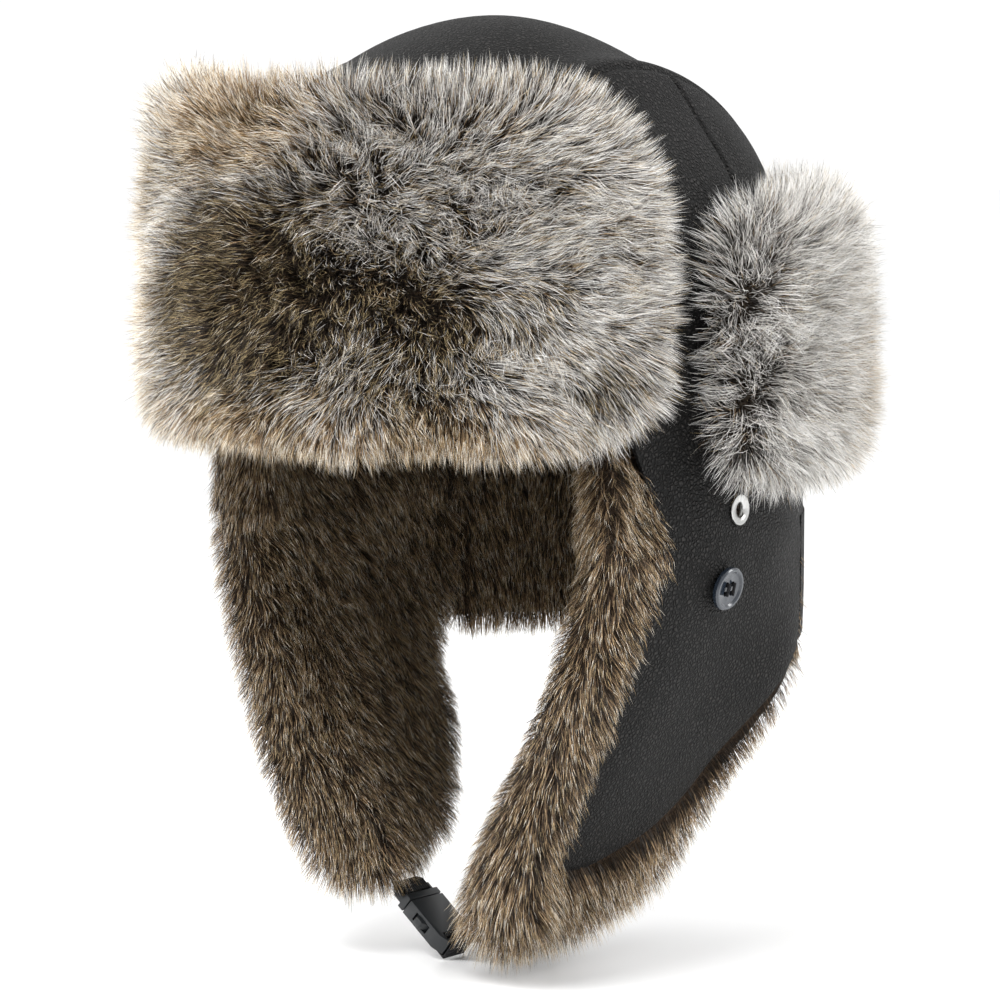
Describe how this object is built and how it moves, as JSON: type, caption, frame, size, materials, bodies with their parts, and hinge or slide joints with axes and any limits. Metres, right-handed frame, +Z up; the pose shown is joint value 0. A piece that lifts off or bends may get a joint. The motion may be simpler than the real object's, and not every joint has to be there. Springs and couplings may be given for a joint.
{
  "type": "trapper hat",
  "caption": "Winter hat with a panelled leather crown, a fur visor that folds down, a rear fur cuff, fur-lined ear flaps that fold out, and a buckled chin strap",
  "frame": {"origin": "Middle of the head opening at brow height, where the wearer's head enters", "axes": "+Z up through the crown, -Y the way the hat faces, +X to the wearer's left"},
  "size_m": [0.252, 0.3019, 0.3462],
  "materials": {
    "leather": "dark brown-black pebbled faux leather, matte",
    "silver_fur": "long silver-grey fur over dark brown and tan",
    "brown_fur": "shorter brown fur with tan tips, combed down",
    "wadding": "off-white felted wadding, hidden",
    "lining": "black woven lining",
    "webbing": "black ribbed webbing",
    "buckle_plastic": "black moulded plastic, satin",
    "button_plastic": "dark blue-grey polished plastic",
    "thread": "black sewing thread",
    "metal": "bright nickel plate"
  },
  "bodies": {
    "crown": {"crown_centre_strip": "leather", "crown_side_front_left": "leather", "crown_side_front_right": "leather", "crown_side_rear_left": "leather", "crown_side_rear_right": "leather", "crown_padding": "wadding", "crown_lining": "lining", "sweatband": "lining", "neck_leather": "leather", "neck_wadding": "wadding", "neck_fur_lining": "brown_fur", "side_fur_lining_left": "brown_fur", "side_fur_lining_right": "brown_fur", "rear_cuff_backing": "leather", "rear_cuff_interlining": "wadding", "rear_cuff_fur": "silver_fur", "eyelet_left": "metal", "eyelet_right": "metal", "eyelet_washer_left": "metal", "eyelet_washer_right": "metal"},
    "visor": {"visor_backing": "leather", "visor_stiffener": "wadding", "visor_fur": "silver_fur"},
    "left_flap": {"flap_leather_left": "leather", "flap_wadding_left": "wadding", "flap_fur_lining_left": "brown_fur", "button_left": "button_plastic", "button_thread_left": "thread"},
    "right_flap": {"flap_leather_right": "leather", "flap_wadding_right": "wadding", "flap_fur_lining_right": "brown_fur", "button_right": "button_plastic", "button_thread_right": "thread", "strap_tab_right": "webbing", "buckle_male": "buckle_plastic"},
    "left_strap": {"strap_left": "webbing", "buckle_female": "buckle_plastic"}
  },
  "joints": [
    {"name": "visor_fold", "type": "hinge", "parent": "crown", "child": "visor", "pos_m": [0, -0.1265, 0.01], "axis": [1, 0, 0], "range_deg": [0, 90]},
    {"name": "left_flap_fold", "type": "hinge", "parent": "crown", "child": "left_flap", "pos_m": [0.1, 0, -0.022], "axis": [0, -1, 0], "range_deg": [0, 120]},
    {"name": "right_flap_fold", "type": "hinge", "parent": "crown", "child": "right_flap", "pos_m": [-0.1, 0, -0.022], "axis": [0, 1, 0], "range_deg": [0, 120]},
    {"name": "left_strap_swing", "type": "hinge", "parent": "left_flap", "child": "left_strap", "pos_m": [0.031, -0.022, -0.1712], "axis": [0, -1, 0], "range_deg": [0, 75]}
  ]
}
